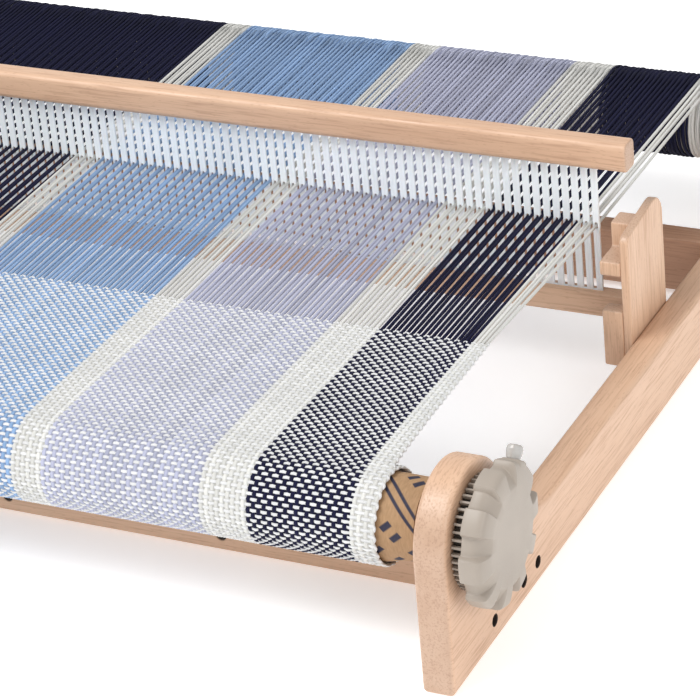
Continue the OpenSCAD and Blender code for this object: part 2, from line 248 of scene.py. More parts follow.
def metal(name):
    """Blackened steel, a little worn on its high spots."""
    material, tree, shader = new_material(name, (0.02, 0.019, 0.018), 0.38, Metallic=0.85)
    wear = noise(tree, (700, 700, 700), 5)
    tone = ramp(tree, wear, [(0.45, (0.018, 0.017, 0.017)), (0.8, (0.10, 0.085, 0.07))])
    tree.links.new(tone, shader.inputs["Base Color"])
    tree.links.new(ramp(tree, wear, [(0.3, 0.3), (0.8, 0.55)]), shader.inputs["Roughness"])
    bumped(tree, shader, wear, 0.04 * MM, 0.5)
    return material


def printed(tree, tone, fibres):
    """The tone with a plain print of slanting lines and short dashes, along the paper's own length."""
    uv = add(tree, "ShaderNodeUVMap", uv_map="UVMap").outputs[0]
    slanted = add(tree, "ShaderNodeMapping", {0: uv, "Scale": (44, 44, 1), "Rotation": (0, 0, 0.75)})
    parts = add(tree, "ShaderNodeSeparateXYZ", {0: slanted.outputs[0]})
    u = reckoned(tree, "PINGPONG", parts.outputs[0], 1.0)
    v = reckoned(tree, "PINGPONG", parts.outputs[1], 0.5)
    lines = ramp(tree, u, [(0.06, 0.0), (0.09, 1.0), (0.15, 1.0), (0.18, 0.0)])
    band = ramp(tree, u, [(0.50, 0.0), (0.52, 1.0), (0.80, 1.0), (0.82, 0.0)])
    gaps = ramp(tree, v, [(0.2, 0.0), (0.24, 1.0), (0.38, 1.0), (0.42, 0.0)])
    ink = reckoned(tree, "MAXIMUM", lines, reckoned(tree, "MULTIPLY", band, gaps))
    worn = reckoned(tree, "MULTIPLY", ink, ramp(tree, fibres, [(0.3, 1.0), (0.7, 0.93)]))
    return mixed(tree, worn, tone, (0.008, 0.012, 0.04))


def paper(name, color, dark, print_on=False):
    """Wrapping paper with fibres and soft creases."""
    material, tree, shader = new_material(name, color, 0.72)
    fibres = noise(tree, (900, 240, 240), 4)
    tone = mixed(tree, ramp(tree, fibres, [(0.3, 0.0), (0.75, 0.75)]), color, dark)
    creases = noise(tree, (34, 60, 60), 3, Distortion=0.8)
    if print_on:
        tone = printed(tree, tone, fibres)
    tree.links.new(tone, shader.inputs["Base Color"])
    bumped(tree, shader, mixed(tree, 0.25, creases, fibres), 0.6 * MM, 0.6)
    return material


def yarn(name, color, sheen=0.2):
    """Plied cotton: two plies turning about the yarn, with painted shade in the grooves between them, a
    little fuzz and uneven dye.
    """
    material, tree, shader = new_material(name, color, 0.82, Sheen_Weight=sheen, Sheen_Roughness=0.5,
                                          Specular_IOR_Level=0.2)
    uv = add(tree, "ShaderNodeUVMap", uv_map="UVMap").outputs[0]
    twist = add(tree, "ShaderNodeMapping", {0: uv, "Rotation": (0, 0, math.radians(38))}).outputs[0]
    wave = {"Vector": twist, "Scale": 0.62, "Distortion": 0.6, "Detail": 1}
    plies = add(tree, "ShaderNodeTexWave", wave).outputs[1]
    shade = add(tree, "ShaderNodeAttribute", attribute_name="shade").outputs["Fac"]
    deep = tuple(c * 0.5 for c in color)
    # the grooves between the plies are darkened: painted shade
    tone = mixed(tree, ramp(tree, plies, [(0.1, 0.5), (0.55, 0.0)]), color, deep)
    tone = mixed(tree, ramp(tree, shade, [(0.0, 0.0), (1.0, 0.5)]), tone, deep)
    tree.links.new(tone, shader.inputs["Base Color"])
    fuzz = noise(tree, (3200, 3200, 3200), 2)
    bumped(tree, shader, mixed(tree, 0.3, plies, fuzz), 0.35 * MM, 0.8)
    return material


WOOD_X = beech("beech_along_x", 0)
# a copy of the beech darkened all over: painted shade for the rear rail
WOOD_X_SHADED = beech("shaded_beech_along_x", 0, (0.66, 0.58, 0.54))
WOOD_Y = beech("beech_along_y", 1)
WOOD_Z = beech("beech_upright", 2)
GREY_PLASTIC = plastic("grey_plastic", (0.375, 0.322, 0.272), 0.42)
CLEAR_PLASTIC = plastic("clear_plastic", (0.66, 0.64, 0.61), 0.16, Transmission_Weight=0.45)
REED_PLASTIC = plastic("reed_plastic", (0.91, 0.95, 0.98), 0.34, Subsurface_Weight=0.1)
STEEL = metal("black_steel")
# near black walls for the small holes: painted shade inside them
HOLE = new_material("painted_shade_hole", (0.022, 0.012, 0.008), 0.8)[0]
KRAFT = paper("kraft_paper", (0.41, 0.25, 0.13), (0.28, 0.165, 0.08), print_on=True)
PALE_PAPER = paper("pale_paper", (0.74, 0.72, 0.67), (0.62, 0.60, 0.56))
YARN = {
    "navy": yarn("navy_yarn", (0.0095, 0.0105, 0.046), 0.01),
    "cream": yarn("cream_yarn", (0.93, 0.925, 0.885)),
    "sky": yarn("sky_yarn", (0.34, 0.52, 0.82), 0.1),
    "lavender": yarn("lavender_yarn", (0.575, 0.595, 0.765), 0.1),
    "white": yarn("white_yarn", (0.95, 0.955, 0.96)),
}
# darker copies of the yarn colours for the cloth's middle layer: painted shade in the pores between the
# yarns
SHADED_GROUND = {name: yarn(f"{name}_ground", color, 0.02) for name, color in
          (("navy", (0.012, 0.011, 0.035)), ("cream", (0.72, 0.71, 0.66)), ("sky", (0.27, 0.40, 0.66)),
           ("lavender", (0.48, 0.50, 0.62)))}


# ---- mesh helpers ------------------------------------------------------------
TUBE_SIDES = 6  # of every yarn


def piece(name, mesh, material, body, node=None):
    """A shown object on a body, which stands for a CAD node if one is named."""
    thing = bpy.data.objects.new(name, mesh)
    bpy.context.scene.collection.objects.link(thing)
    if not mesh.materials:
        mesh.materials.append(material)
    if body:
        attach(thing, body)
    if node:
        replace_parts(thing, node)
    return thing


def mesh_of(name, points, quads, uv=None, shade=None):
    """A mesh of quads from arrays, smooth, with a UV per corner and a shade per point."""
    mesh = bpy.data.meshes.new(name)
    mesh.vertices.add(len(points))
    mesh.vertices.foreach_set("co", np.asarray(points, np.float32).ravel())
    mesh.loops.add(quads.size)
    mesh.loops.foreach_set("vertex_index", np.asarray(quads, np.int32).ravel())
    mesh.polygons.add(len(quads))
    mesh.polygons.foreach_set("loop_start", np.arange(0, quads.size, 4, dtype=np.int32))
    mesh.update(calc_edges=True)
    mesh.polygons.foreach_set("use_smooth", np.ones(len(quads), bool))
    if uv is not None:
        layer = mesh.uv_layers.new(name="UVMap")
        layer.data.foreach_set("uv", np.asarray(uv, np.float32).ravel())
    if shade is not None:
        values = mesh.attributes.new("shade", "FLOAT", "POINT").data
        values.foreach_set("value", np.asarray(shade, np.float32))
    return mesh


def tubes(name, lines, side, half_w, half_t, shades):
    """Closed tubes along many lines at once. lines is (tubes, points, 3); side is across each tube."""
    count, steps = lines.shape[:2]
    ahead = np.gradient(lines, axis=1)
    ahead /= np.linalg.norm(ahead, axis=2, keepdims=True)
    side = np.broadcast_to(side, lines.shape)
    up = np.cross(ahead, side)
    up /= np.linalg.norm(up, axis=2, keepdims=True)
    angle = 2 * np.pi * (np.arange(TUBE_SIDES) + 0.5) / TUBE_SIDES
    half_w = np.broadcast_to(half_w, (count, steps))[..., None, None]
    half_t = np.broadcast_to(half_t, (count, steps))[..., None, None]
    points = (lines[:, :, None] + np.cos(angle)[:, None] * half_w * side[:, :, None]
              + np.sin(angle)[:, None] * half_t * up[:, :, None])
    counts = (count, steps - 1, TUBE_SIDES)
    tube, step, turn = np.meshgrid(*(np.arange(n) for n in counts), indexing="ij")
    base = (tube * steps + step) * TUBE_SIDES
    after = base + (turn + 1) % TUBE_SIDES
    base = base + turn
    quads = np.stack([base, after, after + TUBE_SIDES, base + TUBE_SIDES], -1).reshape(-1, 4)
    # along a tube, U counts millimetres from a place of its own, and V its sides
    far = np.cumsum(np.linalg.norm(np.diff(lines, axis=1), axis=2), 1)
    run = np.concatenate([np.zeros((count, 1)), far], 1) / MM + rng.uniform(0, 9, (count, 1))
    u0, u1 = run[tube, step], run[tube, step + 1]
    corners = [np.stack([u, v], -1) for u, v in ((u0, turn), (u0, turn + 1), (u1, turn + 1), (u1, turn))]
    uv = np.stack(corners, -2).reshape(-1, 2)
    # two quads close each end of a six-sided tube
    ends = []
    for at, order in ((0, ((3, 2, 1, 0), (5, 4, 3, 0))), (steps - 1, ((0, 1, 2, 3), (0, 3, 4, 5)))):
        for four in order:
            ends.append((np.arange(count)[:, None] * steps + at) * TUBE_SIDES + np.array(four))
    caps = np.concatenate(ends)
    quads = np.concatenate([quads, caps])
    uv = np.concatenate([uv, np.zeros((len(caps) * 4, 2))])
    shade = np.repeat(np.broadcast_to(shades, (count,)), steps * TUBE_SIDES)
    return mesh_of(name, points.reshape(-1, 3), quads, uv, shade)


def sharp_where_angled(thing, degrees):
    """Smooth all over, except at edges that turn by more than that."""
    thing.data.polygons.foreach_set("use_smooth", [True] * len(thing.data.polygons))
    thing.data.set_sharp_from_angle(angle=math.radians(degrees))
    return thing


def from_bmesh(name, made, material, body, node, degrees):
    """The shown object of a bmesh, which stands for a CAD node."""
    mesh = bpy.data.meshes.new(name)
    bmesh.ops.recalc_face_normals(made, faces=made.faces[:])
    made.to_mesh(mesh)
    made.free()
    return sharp_where_angled(piece(name, mesh, material, body, node), degrees)


def join(made, other):
    """Moves another bmesh's shape into this one."""
    between = bpy.data.meshes.new("between")
    other.to_mesh(between)
    other.free()
    made.from_mesh(between)
    bpy.data.meshes.remove(between)


def rounded_box(made, low, high, radius, segments=4):
    """Adds a box with all its edges rounded."""
    cube = bmesh.ops.create_cube(made, size=1)["verts"]
    size = Vector(high) - Vector(low)
    for v in cube:
        v.co = Vector(low) + Vector((v.co[i] + 0.5) * size[i] for i in range(3))
    edges = list({e for v in cube for e in v.link_edges})
    bmesh.ops.bevel(made, geom=edges, offset=radius, segments=segments, profile=0.5, affect="EDGES",
                    clamp_overlap=True)


def walls(made, rows, dark=False):
    """Faces all round from each row of points to the next."""
    for a, b in zip(rows, rows[1:]):
        for i in range(len(a)):
            j = (i + 1) % len(a)
            # faces marked dark take the second material, the painted shade of hole walls
            made.faces.new((a[i], a[j], b[j], b[i])).material_index = int(dark)


def loft(made, rings, holes_low=(), holes_high=()):
    """Joins rings of points one after another and closes both ends, leaving round holes in the end faces.

    rings are lists of Vectors of one length. A hole is a list of Vectors that lies in the end face."""
    rows = [[made.verts.new(p) for p in ring] for ring in rings]
    walls(made, rows)
    made_holes = []
    for row, holes in ((rows[0], holes_low), (rows[-1], holes_high)):
        hole_rows = [[made.verts.new(p) for p in hole] for hole in holes]
        flat = row + [v for hole in hole_rows for v in hole]
        loops = [[v.co for v in row]] + [[v.co for v in hole] for hole in hole_rows]
        for triangle in tessellate_polygon(loops):
            made.faces.new([flat[i] for i in triangle])
        made_holes.append(hole_rows)
    return made_holes


def circle(centre, radius, across, sides):
    """Points of an upright circle, which faces along Y if across is 0, and along X if it is 1."""
    points = []
    for i in range(sides):
        a = 2 * math.pi * i / sides
        point = list(centre)
        point[across] += radius * math.cos(a)
        point[2] += radius * math.sin(a)
        points.append(Vector(point))
    return points


def rounded_edges(low, high, radius, steps):
    """(place, inset) of each ring of a plate from low to high with rounded edges."""
    way = 1 if high > low else -1
    angles = np.linspace(0, math.pi / 2, steps + 1)
    ease = [(radius * (1 - math.cos(a)), radius * (1 - math.sin(a))) for a in angles]
    start = [(low + way * depth, d) for depth, d in ease]
    end = [(high - way * depth, d) for depth, d in ease[::-1]]
    return start + end


def inset(outline, d):
    """The outline moved inwards by d, with mitred corners; outline runs anticlockwise."""
    points = [np.array(p, float) for p in outline]
    out = []
    for i, p in enumerate(points):
        a = p - points[i - 1]
        b = points[(i + 1) % len(points)] - p
        na, nb = (np.array((-v[1], v[0])) / np.linalg.norm(v) for v in (a, b))
        out.append(p + d * (na + nb) / (1 + na @ nb))
    return out


def softened(outline, r, steps=4):
    """The outline with each sharp corner cut to a short arc."""
    points = [np.array(p, float) for p in outline]
    out = []
    for i, p in enumerate(points):
        a, b = points[i - 1] - p, points[(i + 1) % len(points)] - p
        cut = min(r, 0.4 * np.linalg.norm(a), 0.4 * np.linalg.norm(b))
        a, b = p + cut * a / np.linalg.norm(a), p + cut * b / np.linalg.norm(b)
        for t in np.linspace(0, 1, steps):
            out.append((1 - t) ** 2 * a + 2 * t * (1 - t) * p + t * t * b)
    return out


def rounded_plate(made, outline, x0, x1, r):
    """Adds a plate between x0 and x1 with rounded edges all round."""
    loft(made, [[Vector((x, y, z)) for y, z in inset(outline, d)] for x, d in rounded_edges(x0, x1, r, 4)])


def box_outline(low_u, high_u, low_z, high_z):
    """The four corners of an upright oblong."""
    return [(low_u, low_z), (high_u, low_z), (high_u, high_z), (low_u, high_z)]


# ---- side frames -------------------------------------------------------------
POST_R = side_hi.z - AXIS_Z
LOW_H = 46 * MM  # height of a side frame's low middle
HOLLOW_R = 70 * MM  # of the curve from a post down to the low middle
FOOT_R = 2 * MM
EDGE_R = 3.2 * MM  # rounding along the edges
FACE_MARGIN = 0.6 * MM  # flat strip inside the rounding
BORE_R = 11 * MM  # a roller's end turns in it
STAND_HOLE_R = 3.5 * MM
BOLT_HOLE_R = 3.9 * MM
BOLT_HOLE_DEPTH = 9 * MM
HOLE_EASE = 0.5 * MM  # chamfer at a hole's mouth
HOLE_SIDES = 32
LOW_ROW, HIGH_ROW = 14 * MM, 32 * MM  # heights of the small holes
STAND_END = 60 * MM  # from a side frame's end to its outermost hole

bolt_lo, bolt_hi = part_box("rail_bolts")
bolt_ys = (bolt_lo.y + BOLT_HOLE_R, bolt_hi.y - BOLT_HOLE_R)
stand_ys = (FRONT + STAND_END, FRONT + 124 * MM, FRONT + 468.5 * MM, side_hi.y - STAND_END)


def arc(cy, cz, r, start, end, steps):
    """Points in Y and Z from one angle to another."""
    return [(cy + r * math.cos(a), cz + r * math.sin(a)) for a in np.linspace(start, end, steps)]


def side_outline(d):
    """A side frame's outline in Y and Z from the front end, moved inwards by d."""
    length = side_hi.y - side_lo.y
    post_y, post_z = CLOTH_Y - FRONT, AXIS_Z
    hollow_z = LOW_H + HOLLOW_R
    reach = math.sqrt((POST_R + HOLLOW_R) ** 2 - (hollow_z - post_z) ** 2)
    lean = math.atan2(hollow_z - post_z, reach)
    foot = max(FOOT_R - d, 0.1 * MM)
    corner = d + foot
    half = arc(corner, corner, foot, -math.pi / 2, -math.pi, 5)
    half += arc(post_y, post_z, POST_R - d, math.pi, lean, 44)
    half += arc(post_y + reach, hollow_z, HOLLOW_R + d, math.pi + lean, 1.5 * math.pi, 20)[1:]
    back = [(length - y, z) for y, z in reversed(half)]
    return [(FRONT + y, z) for y, z in half + back]


def side_frame(name, node):
    """A board with two round posts, the rollers' bores, the stand's holes and the rail bolts' sunk ones."""
    low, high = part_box(node)
    outward = 1 if high.x > MID else -1
    inner, outer = (low.x, high.x) if outward > 0 else (high.x, low.x)
    face = EDGE_R + FACE_MARGIN
    profile = [(inner, face), *rounded_edges(inner, outer, EDGE_R, 6), (outer, face)]
    through = [(CLOTH_Y, AXIS_Z, BORE_R), (WARP_Y, AXIS_Z, BORE_R)]
    through += [(y, LOW_ROW, STAND_HOLE_R) for y in stand_ys]
    sunk = [(y, z, BOLT_HOLE_R) for y in bolt_ys for z in (LOW_ROW, HIGH_ROW)]

    def hole_ring(x, hole, wider=0):
        y, z, r = hole
        return circle((x, y, z), r + wider, 1, HOLE_SIDES)

    made = bmesh.new()
    in_holes, out_holes = loft(made, [[Vector((x, y, z)) for y, z in side_outline(d)] for x, d in profile],
                               [hole_ring(inner, hole, HOLE_EASE) for hole in through],
                               [hole_ring(outer, hole, HOLE_EASE) for hole in through + sunk])
    near, far = inner + outward * HOLE_EASE, outer - outward * HOLE_EASE
    deep = outer - outward * BOLT_HOLE_DEPTH
    for start, end, hole in zip(in_holes, out_holes, through):
        middle = [[made.verts.new(p) for p in hole_ring(x, hole)] for x in (near, far)]
        # the stand holes' walls take painted shade; the bores stay wood
        walls(made, [start, *middle, end], dark=hole[2] < BORE_R)
    for start, hole in zip(out_holes[len(through):], sunk):
        rows = [[made.verts.new(p) for p in hole_ring(x, hole)] for x in (far, deep)]
        # the sunk holes' walls take painted shade too
        walls(made, [start, *rows], dark=True)
        made.faces.new(rows[-1])
    thing = from_bmesh(name, made, WOOD_Y, "frame", node, 30)
    thing.data.materials.append(HOLE)


side_frame("side_right", "side_frame_right")
side_frame("side_left", "side_frame_left")


# ---- heddle blocks -----------------------------------------------------------
WALL_T = 6 * MM  # the block's wall against its side frame


def heddle_block(name, node):
    """The wall against the side frame, and the fork with the lip, pocket, tooth and upper rest."""
    low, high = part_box(node)
    outward = 1 if high.x > MID else -1
    face, inner = (high.x, low.x) if outward > 0 else (low.x, high.x)
    wall_x = face - outward * WALL_T
    pocket = bottom_lo.z / MM - 0.4
    # millimetres from the block's front, and up
    wall = [(0, 28), (2, 26), (59, 26), (61, 28), (61, 112), (59.4, 117), (55.5, 121.6), (50.5, 124),
            (45.5, 124.2), (3, 119.4), (0, 116)]
    fork = [(0, 27), (1, 26), (60, 26), (61, 27), (61, 101), (56, 106), (37, 118), (22, 118), (22, 101),
            (0, 101), (0, 91), (42, 91), (42, pocket), (11, pocket), (11, 66), (0, 66)]
    made = bmesh.new()
    for outline, a, b, edge in ((wall, face, wall_x, 1.2 * MM), (fork, wall_x, inner, 1.1 * MM)):
        shape = softened([(low.y + y * MM, z * MM) for y, z in outline], 1.6 * MM)
        rounded_plate(made, shape, min(a, b), max(a, b), edge)
    from_bmesh(name, made, WOOD_Z, "frame", node, 40)


heddle_block("block_right", "heddle_block_right")
heddle_block("block_left", "heddle_block_left")


# ---- cross rails -------------------------------------------------------------
SCREW_HOLE_R = 3.7 * MM
SCREW_HOLE_SIDES = 24
SCREW_HEAD_R = 3.6 * MM
INNER_SCREWS = 104 / 255  # share of the way from the middle to the outer screws


def cross_rail(name, node, wood, screws=None):
    """A rail between the sides, with four screw holes in its front face if it has screws."""
    low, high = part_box(node)
    flat = box_outline(low.x, high.x, low.z, high.z)
    edges = rounded_edges(low.y, high.y, 2.2 * MM, 4)
    places = []
    if screws:
        screw_lo, screw_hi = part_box(screws)
        across = (screw_hi.x - screw_lo.x) / 2 - SCREW_HEAD_R
        z = (screw_lo.z + screw_hi.z) / 2
        places = [(MID + across * share, z) for share in (-1, -INNER_SCREWS, INNER_SCREWS, 1)]
    made = bmesh.new()
    mouth_r = SCREW_HOLE_R + 0.3 * MM
    fronts, _ = loft(made, [[Vector((x, y, z)) for x, z in inset(flat, d)] for y, d in edges],
                     [circle((x, low.y, z), mouth_r, 0, SCREW_HOLE_SIDES) for x, z in places])
    for front, (x, z) in zip(fronts, places):
        rings = [circle((x, low.y + depth, z), SCREW_HOLE_R, 0, SCREW_HOLE_SIDES)
                 for depth in (0.4 * MM, 2.4 * MM)]
        rows = [[made.verts.new(p) for p in ring] for ring in rings]
        walls(made, [front, *rows])
        made.faces.new(rows[-1])
    from_bmesh(name, made, wood, "frame", node, 30)


cross_rail("front_rail", "front_cross_rail", WOOD_X, "front_rail_screws")
# the rear rail takes the darkened copy of the beech, as painted shade
cross_rail("rear_rail", "rear_cross_rail", WOOD_X_SHADED)


# ---- heddle ------------------------------------------------------------------
def heddle_rail(name, node, corner, end):
    """A rail with four rounded long edges and slightly eased ends."""
    low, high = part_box(node)
    made = bmesh.new()
    shape = softened(box_outline(low.y, high.y, low.z, high.z), corner, 7)
    rounded_plate(made, shape, low.x, high.x, end)
    from_bmesh(name, made, WOOD_X, "heddle", node, 30)


heddle_rail("heddle_rail_top", "heddle_top_rail", 4.6 * MM, 1.4 * MM)
heddle_rail("heddle_rail_bottom", "heddle_bottom_rail", 2.6 * MM, 1 * MM)

BAR_HW = (PITCH - SLOT_W) / 2
EYE_HW, EYE_HH = 0.95 * MM, 2.5 * MM


def strand_ring(x0, x1, z):
    """A section of one strand of a bar: an oblong with round corners."""
    half_t = (reed_hi.y - reed_lo.y) / 2
    ring = []
    for i in range(16):
        a = 2 * math.pi * (i + 0.5) / 16
        across, ahead = (math.copysign(abs(v) ** 0.45, v) for v in (math.cos(a), math.sin(a)))
        ring.append(Vector(((x0 + x1) / 2 + across * (x1 - x0) / 2, REED_Y + ahead * half_t, z)))
    return ring


def reed():
    """Moulded bars with rounded edges and an eye in each, between two plain bands."""
    band_low = top_lo.z - 2.5 * MM
    heights = [bottom_hi.z - 2 * MM, EYE_Z - EYE_HH - 0.8 * MM]
    heights += [EYE_Z + EYE_HH * t for t in (-1, -0.8, -0.4, 0, 0.4, 0.8, 1)]
    heights += [EYE_Z + EYE_HH + 0.8 * MM, band_low + 0.5 * MM]
    made = bmesh.new()
    for i in range(BARS):
        x = MID + (i - (BARS - 1) / 2) * PITCH
        # each bar is two strands that part round the eye
        for side in (-1, 1):
            rings = []
            for z in heights:
                t = abs(z - EYE_Z) / EYE_HH
                gap = EYE_HW * math.sqrt(max(0.0, 1 - min(t, 1) ** 6))
                bulge = 0.3 * MM * max(0.0, 1 - t * t)
                inner_x = x + side * gap if gap > 0 else x - side * 0.2 * MM
                outer_x = x + side * (BAR_HW + bulge)
                rings.append(strand_ring(min(inner_x, outer_x), max(inner_x, outer_x), z))
            loft(made, rings)
    for z0, z1 in ((band_low, reed_hi.z), (reed_lo.z, bottom_hi.z + 0.5 * MM)):
        rounded_box(made, (reed_lo.x, reed_lo.y, z0), (reed_hi.x, reed_hi.y, z1), 0.5 * MM, 2)
    from_bmesh("reed", made, REED_PLASTIC, "heddle", "heddle_reed", 50)


reed()


# ---- handles -----------------------------------------------------------------
RIM = 42.3  # a handle's radius in millimetres
# sections from the back face to the middle of the front: mm along the axis, and mm from it
LOBE = [(0, 11), (0, RIM - 5), (0, RIM - 1.1), (0.35, RIM - 0.35), (1.1, RIM), (4, RIM), (8, RIM),
        (10.2, RIM - 0.1), (11.8, RIM - 0.6), (12.9, RIM - 1.6), (13.6, RIM - 3.4), (14.2, RIM - 6),
        (14.7, RIM - 9), (15, RIM - 12.5), (15, RIM - 13.4), (14.8, RIM - 21), (14.7, 8), (14.7, 0.01)]
NOTCH = [(0, 11), (0, RIM - 7), (0, RIM - 4.4), (0.3, RIM - 3.6), (1, RIM - 3.3), (3.4, RIM - 3.2),
         (5.6, RIM - 3.3), (7.2, RIM - 3.7), (8.6, RIM - 4.6), (10, RIM - 5.9), (11.3, RIM - 7.4),
         (12.5, RIM - 9), (13.6, RIM - 10.7), (14.7, RIM - 12.5), (15, RIM - 13.4), (14.8, RIM - 21),
         (14.7, 8), (14.7, 0.01)]
# directions past the peg's, in degrees; they are a little wider apart on its near side
NOTCHES = np.array([26, 66, 106, 146, 181, 216, 251, 286, 322])
NOTCH_HALF = 9.6  # degrees from its middle to its edge
NOTCH_EDGE = 2.0  # degrees in which it comes to its full depth


def handle(name, node, peg_node, y, body):
    """A disc with nine notches that run out on its front face, and the peg's boss between two of them."""
    low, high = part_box(node)
    peg_lo, peg_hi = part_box(peg_node)
    peg_way = math.atan2((peg_lo.z + peg_hi.z) / 2 - AXIS_Z, (peg_lo.y + peg_hi.y) / 2 - y)
    lobe, notch = np.array(LOBE) * MM, np.array(NOTCH) * MM
    made = bmesh.new()
    rows = []
    for degree in range(360):
        a = peg_way + 2 * math.pi * degree / 360
        away = np.abs(NOTCHES - degree).min()  # from the middle of a notch
        share = min(max((NOTCH_HALF - away) / NOTCH_EDGE, 0), 1)
        share = share * share * (3 - 2 * share)
        side = (1 - share) * lobe + share * notch
        if share > 0:
            # the notch's floor is slightly hollow from side to side
            hollow = 0.7 * MM * math.cos(min(away / NOTCH_HALF, 1) * math.pi / 2)
            side[:, 1] -= hollow * (side[:, 1] > 22 * MM)
        c, s = math.cos(a), math.sin(a)
        rows.append([made.verts.new((low.x + x, y + r * c, AXIS_Z + r * s)) for x, r in side])
    for a, b in zip(rows, rows[1:] + rows[:1]):
        for corners in zip(a, b, b[1:], a[1:]):
            made.faces.new(corners)
    made.faces.new([row[0] for row in rows])
    bmesh.ops.remove_doubles(made, verts=[row[-1] for row in rows], dist=0.05 * MM)
    # the squarish boss that holds the peg
    boss = bmesh.new()
    half = 6.5 * MM
    inner_end = (low.x + 0.5 * MM, (RIM - 15) * MM, -half)
    outer_end = (high.x - 1.4 * MM, (RIM + 0.6) * MM, half)
    rounded_box(boss, inner_end, outer_end, 2.6 * MM)
    turned = Matrix.Translation((0, y, AXIS_Z)) @ Matrix.Rotation(peg_way, 4, "X")
    bmesh.ops.transform(boss, matrix=turned, verts=boss.verts)
    join(made, boss)
    from_bmesh(name, made, GREY_PLASTIC, body, node, 34)


handle("handle_front", "cloth_handle", "cloth_handle_peg", CLOTH_Y, "cloth_beam")
handle("handle_rear", "warp_handle", "warp_handle_peg", WARP_Y, "warp_beam")


# ---- paper wraps -------------------------------------------------------------
PAPER_TURNS = 6
PAPER_STEPS = 72  # in a turn
PAPER_T = 0.3 * MM


def paper_wrap(name, node, y, material, body, held, slack):
    """A long sheet of paper wound round a roller, each turn lying a little off the last.

    It is tight under the cloth or warp, out to held from the middle, and hangs slack below past that."""
    low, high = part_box(node)
    outer_r = radius_of(node)
    steps = PAPER_STEPS * PAPER_TURNS
    a = np.linspace(0, 2 * np.pi * PAPER_TURNS, steps + 1)[:, None]
    share = a / a[-1]
    offsets = rng.uniform(-1.6, 0.0, PAPER_TURNS + 1) * MM
    half = (high.x - low.x) / 2 + np.interp(a / (2 * np.pi), np.arange(PAPER_TURNS + 1), offsets)
    # places across the sheet: 0 is held from the middle, and 1 its edge
    out = np.array([1, 0.6, 0.25, 0, 0, 0.25, 0.6, 1])
    side = np.array([-1] * 4 + [1] * 4)
    x = MID + side * (held + out * (half - held))
    loose = out ** 0.6 * ((1 - np.sin(a)) / 2) ** 0.8
    full = ROLLER_R + 0.2 * MM + (outer_r - ROLLER_R - 0.5 * MM) * share
    r = ROLLER_R + (full - ROLLER_R) * (1 - slack * loose)
    signed = side * out
    r = r + 0.35 * MM * loose * share * (np.sin(9 * a + 40 * out) + 0.6 * np.sin(17 * a - 23 * signed))
    top = np.stack([x, y + (r + PAPER_T) * np.cos(a), AXIS_Z + (r + PAPER_T) * np.sin(a)], -1)
    under = np.stack([x, y + r * np.cos(a), AXIS_Z + r * np.sin(a)], -1)[:, ::-1]
    points = np.concatenate([top, under], 1)
    n = points.shape[1]
    base = np.arange(steps)[:, None] * n
    quads = np.concatenate([base + np.array((k, (k + 1) % n, (k + 1) % n + n, k + n)) for k in range(n)])
    caps = [np.array((k, k + 1, n - 2 - k, n - 1 - k)) for k in range(n // 2 - 1)]
    quads = np.concatenate([quads, *([cap, cap + steps * n] for cap in caps)])
    run = a[:, 0] * outer_r
    points = points.reshape(-1, 3)
    uv = np.stack([points[quads.ravel(), 0] - low.x, run[quads.ravel() // n]], -1)
    sharp_where_angled(piece(name, mesh_of(name, points, quads, uv), material, body, node), 50)


paper_wrap("kraft_wrap", "cloth_paper", CLOTH_Y, KRAFT, "cloth_beam", CLOTH_HW - 1 * MM, 0.72)
paper_wrap("warp_paper_wrap", "warp_paper", WARP_Y, PALE_PAPER, "warp_beam",
           CLOTH_HW + 4 * MM, 0.2)


# ---- yarns: places and colours -----------------------------------------------
ENDS = 2 * BARS - 1  # one end in each eye and each slot
end_no = np.arange(ENDS)
in_eye = end_no % 2 == 0
reed_x = (end_no - (ENDS - 1) / 2) * PITCH / 2  # from the middle of the warp
side_of = np.sign(reed_x)

# right edge of each stripe, in millimetres from the middle of the warp, and its colour
STRIPES = [(-385, "cream"), (-341, "lavender"), (-319, "cream"), (-225, "sky"), (-203, "cream"),
           (11.6, "navy"), (32, "cream"), (163.6, "sky"), (186, "cream"), (288, "lavender"),
           (321.4, "cream"), (385, "navy"), (500, "cream")]
stripe_no = np.searchsorted([edge * MM for edge, _ in STRIPES], reed_x)
colour_of = np.array([STRIPES[i][1] for i in stripe_no])
shade_of = rng.uniform(0, 1, ENDS)

# the edge threads are drawn in at the last row and spread again on the roller
drawn = np.clip((np.abs(reed_x) - 372 * MM) / (25 * MM), 0, 1)
fell_x = reed_x - side_of * drawn * 5.5 * MM
spread = np.clip((np.abs(reed_x) - 383 * MM) / (13 * MM), 0, 1)
roll_x = reed_x + side_of * spread * 3.6 * MM

YARN_HW, YARN_HT = 1.38 * MM, 0.66 * MM  # half width and half thickness of a yarn in the cloth
WAVE = 0.52 * MM
ROLL_R = cloth_paper_r + YARN_HT + WAVE + 0.15 * MM  # middle of the cloth on the roller
ROLL_PICKS = 56  # an even number in each quarter turn, so the web meets it in step
ROLL_STEP = 2 * math.pi * ROLL_R / ROLL_PICKS
FELL_DROP = 3.2 * MM
web_length = FELL_Y - CLOTH_Y
WEB_PICKS = round(web_length / ROLL_STEP)
WEB_STEP = web_length / WEB_PICKS


def dyed_tubes(tag, lines, mine, half_w, half_t, body):
    """A piece of tubes for each colour among the ends that are mine."""
    for name in sorted(set(colour_of[mine])):
        here = colour_of[mine] == name
        label = f"{tag}_{name}"
        mesh = tubes(label, lines[here], (1.0, 0, 0), half_w, half_t, shade_of[mine][here])
        yield piece(label, mesh, YARN[name], body)


